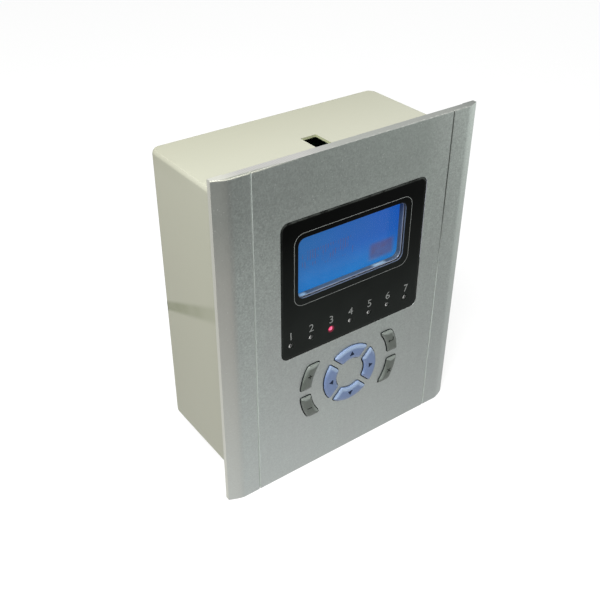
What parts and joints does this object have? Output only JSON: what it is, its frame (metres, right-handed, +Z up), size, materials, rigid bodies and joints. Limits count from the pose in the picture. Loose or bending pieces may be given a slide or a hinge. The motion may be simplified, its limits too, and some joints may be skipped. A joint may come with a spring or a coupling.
{
  "type": "protection relay",
  "caption": "Panel-mounted protection relay: aluminium front with display, indicator lamps and keypad, deep plastic housing with rear terminals.",
  "frame": {"origin": "centre of the object's footprint at the level of the panel's lower edge", "axes": "+Z up, the front looks along -Y, +X to the right as seen from the front"},
  "size_m": [0.17, 0.0916, 0.205],
  "materials": {
    "anodised_aluminium": "sand-blasted, clear anodised",
    "black_film": "smooth semi-gloss film",
    "clear_pane": "clear, polished",
    "steel": "zinc plated",
    "lcd_glass": "lit blue liquid crystal",
    "white_plastic": "milky light guide",
    "green_board": "solder mask",
    "lit_lamp": "lit clear resin",
    "dark_lamp": "clear resin, not lit",
    "blue_key": "satin",
    "grey_key": "satin",
    "cream_plastic": "fine moulded texture",
    "green_plastic": "moulded",
    "black_plastic": "moulded",
    "blue_relay": "moulded",
    "laminated_core": "varnished laminations",
    "grey_cable": "flat ribbon cable"
  },
  "bodies": {
    "relay": {"front_panel": "anodised_aluminium", "display_overlay": "black_film", "window_pane": "clear_pane", "lcd_bezel": "steel", "board_screw_1": "steel", "board_screw_2": "steel", "board_screw_3": "steel", "board_screw_4": "steel", "housing_screw_1": "steel", "housing_screw_2": "steel", "housing_screw_3": "steel", "housing_screw_4": "steel", "lcd_glass": "lcd_glass", "lcd_backlight": "white_plastic", "lcd_board": "green_board", "display_board": "green_board", "input_board": "green_board", "processor_board": "green_board", "power_board": "green_board", "led_1": "dark_lamp", "led_2": "dark_lamp", "led_3": "lit_lamp", "led_4": "dark_lamp", "led_5": "dark_lamp", "led_6": "dark_lamp", "led_7": "dark_lamp", "switch_right": "black_plastic", "switch_up": "black_plastic", "switch_left": "black_plastic", "switch_down": "black_plastic", "switch_enter": "black_plastic", "switch_cancel": "black_plastic", "switch_plus": "black_plastic", "switch_minus": "black_plastic", "housing": "cream_plastic", "terminal_block_inputs": "green_plastic", "terminal_block_signals": "green_plastic", "terminal_block_outputs": "green_plastic", "current_transformer_a": "black_plastic", "current_transformer_b": "black_plastic", "current_transformer_c": "black_plastic", "processor": "black_plastic", "relay_1": "blue_relay", "relay_2": "blue_relay", "relay_3": "blue_relay", "relay_4": "blue_relay", "power_transformer": "laminated_core", "ribbon_cable": "grey_cable"},
    "key_right": {"key_right": "blue_key"},
    "key_up": {"key_up": "blue_key"},
    "key_left": {"key_left": "blue_key"},
    "key_down": {"key_down": "blue_key"},
    "key_enter": {"key_enter": "grey_key"},
    "key_cancel": {"key_cancel": "grey_key"},
    "key_plus": {"key_plus": "grey_key"},
    "key_minus": {"key_minus": "grey_key"}
  },
  "joints": [
    {"name": "key_right_press", "type": "slide", "parent": "relay", "child": "key_right", "axis": [0, 1, 0], "range_m": [0, 0.0005], "stiffness_N_per_m": 900, "springref_m": -0.0008},
    {"name": "key_up_press", "type": "slide", "parent": "relay", "child": "key_up", "axis": [0, 1, 0], "range_m": [0, 0.0005], "stiffness_N_per_m": 900, "springref_m": -0.0008},
    {"name": "key_left_press", "type": "slide", "parent": "relay", "child": "key_left", "axis": [0, 1, 0], "range_m": [0, 0.0005], "stiffness_N_per_m": 900, "springref_m": -0.0008},
    {"name": "key_down_press", "type": "slide", "parent": "relay", "child": "key_down", "axis": [0, 1, 0], "range_m": [0, 0.0005], "stiffness_N_per_m": 900, "springref_m": -0.0008},
    {"name": "key_enter_press", "type": "slide", "parent": "relay", "child": "key_enter", "axis": [0, 1, 0], "range_m": [0, 0.0005], "stiffness_N_per_m": 900, "springref_m": -0.0008},
    {"name": "key_cancel_press", "type": "slide", "parent": "relay", "child": "key_cancel", "axis": [0, 1, 0], "range_m": [0, 0.0005], "stiffness_N_per_m": 900, "springref_m": -0.0008},
    {"name": "key_plus_press", "type": "slide", "parent": "relay", "child": "key_plus", "axis": [0, 1, 0], "range_m": [0, 0.0005], "stiffness_N_per_m": 900, "springref_m": -0.0008},
    {"name": "key_minus_press", "type": "slide", "parent": "relay", "child": "key_minus", "axis": [0, 1, 0], "range_m": [0, 0.0005], "stiffness_N_per_m": 900, "springref_m": -0.0008}
  ]
}
